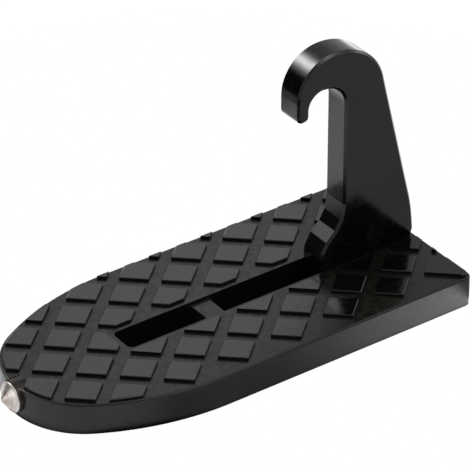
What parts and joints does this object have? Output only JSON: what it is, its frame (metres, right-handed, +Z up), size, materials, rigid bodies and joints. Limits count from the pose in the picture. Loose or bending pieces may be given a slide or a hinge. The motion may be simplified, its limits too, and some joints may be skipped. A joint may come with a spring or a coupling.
{
  "type": "car door latch step",
  "caption": "Folding step that hangs on a car door striker: black tread plate with raised pads and slots, hinged hook and a steel glass-breaker tip.",
  "frame": {"origin": "on the underside of the plate, at the middle of the whole part's length and width, with the hook upright", "axes": "+X along the plate from the round nose to the straight end, +Y across the plate along the hinge pin, +Z up out of the tread along the upright hook"},
  "size_m": [0.1596, 0.0712, 0.0917],
  "materials": {
    "plate_coat": "black glossy coat on cast aluminium",
    "hook_coat": "black glossy coat on cast metal",
    "pin_steel": "ground steel",
    "tip_steel": "bright turned steel"
  },
  "bodies": {
    "plate": {"base_plate": "plate_coat", "hinge_pin": "pin_steel", "hammer_tip": "tip_steel"},
    "hook": {"hook": "hook_coat"}
  },
  "joints": [
    {"name": "hook_hinge", "type": "hinge", "parent": "plate", "child": "hook", "pos_m": [0.05235, 0, 0.0056], "axis": [0, -1, 0], "range_deg": [0, 81.5]}
  ]
}
